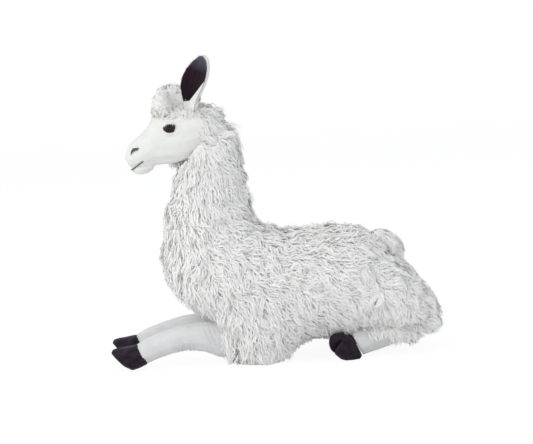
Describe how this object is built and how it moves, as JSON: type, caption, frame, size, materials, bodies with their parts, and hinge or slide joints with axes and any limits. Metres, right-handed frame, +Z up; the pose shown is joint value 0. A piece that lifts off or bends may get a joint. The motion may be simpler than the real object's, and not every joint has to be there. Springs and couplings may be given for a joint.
{
  "type": "plush llama",
  "caption": "Shaggy plush llama lying with its forelegs stretched forward, with a smooth face, cupped ears and cloven hooves.",
  "frame": {"origin": "centre of the bounding box on the ground", "axes": "+Z up; the llama faces -X and its left side faces -Y"},
  "size_m": [0.4158, 0.1486, 0.3848],
  "materials": {
    "long_pile": "long shaggy cream-white pile with cool shade between its locks",
    "short_pile": "short smooth cream-white pile",
    "dark_pile": "short charcoal pile with a faint purple cast",
    "eye_plastic": "glossy very dark brown",
    "washer_plastic": "plain moulded",
    "dark_thread": "dark embroidery thread",
    "stuffing": "white fibre filling"
  },
  "bodies": {
    "root": {"fleece_cover": "long_pile", "tail": "long_pile", "topknot": "long_pile", "head_skin": "short_pile", "ear_shell_left": "short_pile", "ear_shell_right": "short_pile", "foreleg_skin_left": "short_pile", "foreleg_skin_right": "short_pile", "hind_shank_skin_left": "short_pile", "hind_shank_skin_right": "short_pile", "ear_lining_left": "dark_pile", "ear_lining_right": "dark_pile", "fore_hoof_left": "dark_pile", "fore_hoof_right": "dark_pile", "hind_hoof_left": "dark_pile", "hind_hoof_right": "dark_pile", "eye_left": "eye_plastic", "eye_right": "eye_plastic", "eye_washer_left": "washer_plastic", "eye_washer_right": "washer_plastic", "nostril_left": "dark_thread", "nostril_right": "dark_thread", "mouth_stitch": "dark_thread", "body_stuffing": "stuffing", "head_stuffing": "stuffing", "foreleg_stuffing_left": "stuffing", "foreleg_stuffing_right": "stuffing", "hind_leg_stuffing_left": "stuffing", "hind_leg_stuffing_right": "stuffing"}
  },
  "joints": []
}
